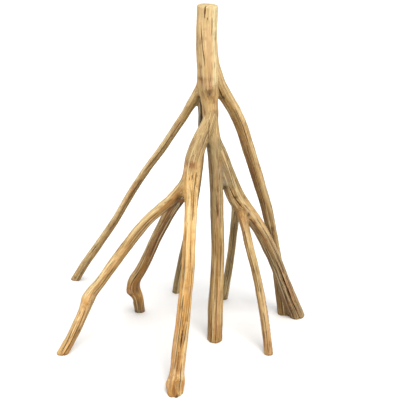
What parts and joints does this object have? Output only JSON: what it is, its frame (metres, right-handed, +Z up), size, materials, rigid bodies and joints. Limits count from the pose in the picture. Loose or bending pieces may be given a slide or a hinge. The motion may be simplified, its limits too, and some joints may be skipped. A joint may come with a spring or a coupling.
{
  "type": "mangrove root",
  "caption": "Dry debarked mangrove root: a sawn trunk that stands upright on a spread of tapering prop roots, used as a natural ornament or as hardscape.",
  "frame": {"origin": "on the floor, under the middle of the root's bounding box", "axes": "+Z up along the trunk, -Y towards the side seen in the picture, +X to that side's right"},
  "size_m": [0.5306, 0.5404, 0.699],
  "materials": {
    "wood": "matte"
  },
  "bodies": {
    "root": {"mangrove_root": "wood"}
  },
  "joints": []
}
